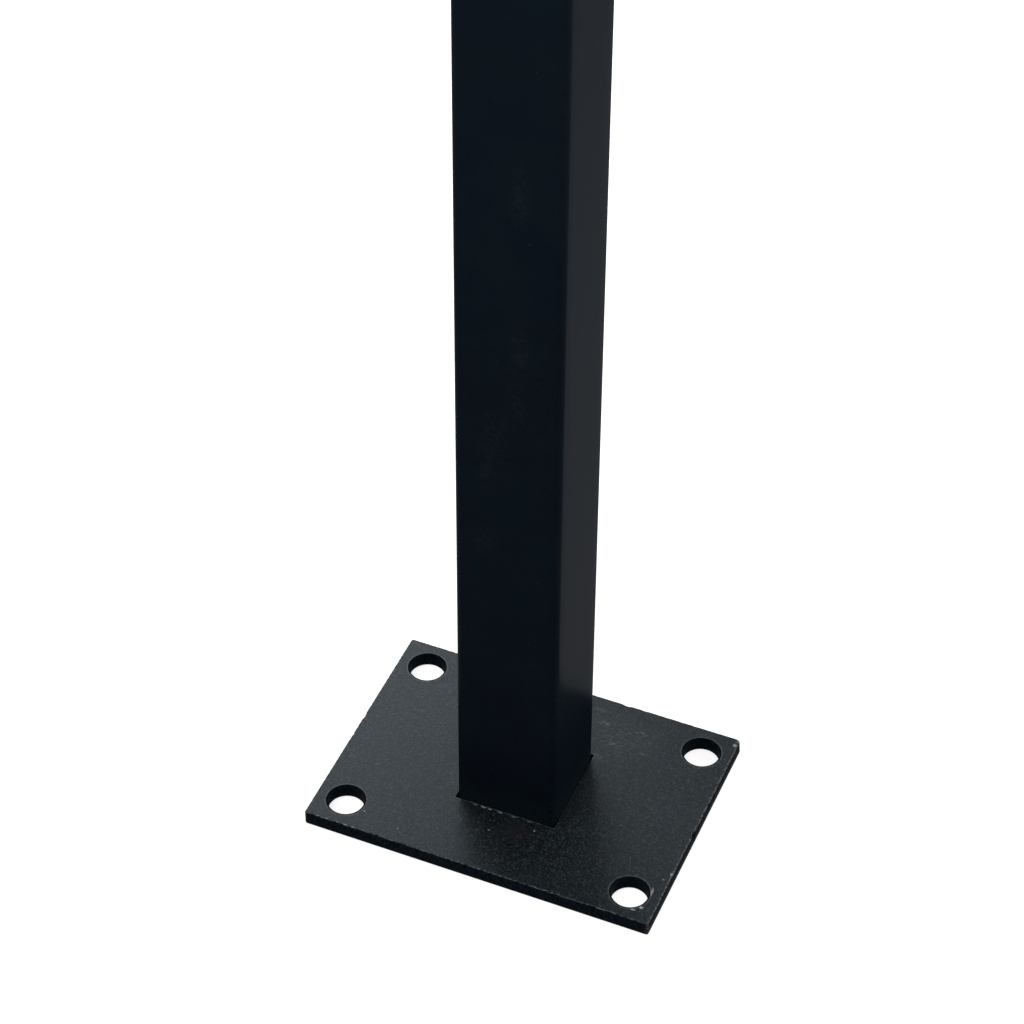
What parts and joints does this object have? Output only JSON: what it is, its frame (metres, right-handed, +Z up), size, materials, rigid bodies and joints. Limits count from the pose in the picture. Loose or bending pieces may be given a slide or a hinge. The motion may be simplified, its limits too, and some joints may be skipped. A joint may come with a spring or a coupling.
{
  "type": "fence post mount",
  "caption": "Square hollow post welded upright in a flat rectangular base plate with bolt holes at its corners and a plug closing the top.",
  "frame": {"origin": "middle of the plate's underside, on the post's middle line", "axes": "+Z up along the post, +X along the plate's long side, -Y towards the side seen in front"},
  "size_m": [0.14, 0.1, 0.5],
  "materials": {
    "plate_coat": "black powder coat with a fine grain, dull, slightly blue, worn to grey specks at the sheared edges",
    "post_coat": "smooth satin black powder coat",
    "weld_coat": "black powder coat over a rippled weld",
    "cap_plastic": "black moulded plastic, matt"
  },
  "bodies": {
    "root": {"base_plate": "plate_coat", "post_tube": "post_coat", "weld_bead": "weld_coat", "end_cap": "cap_plastic"}
  },
  "joints": []
}
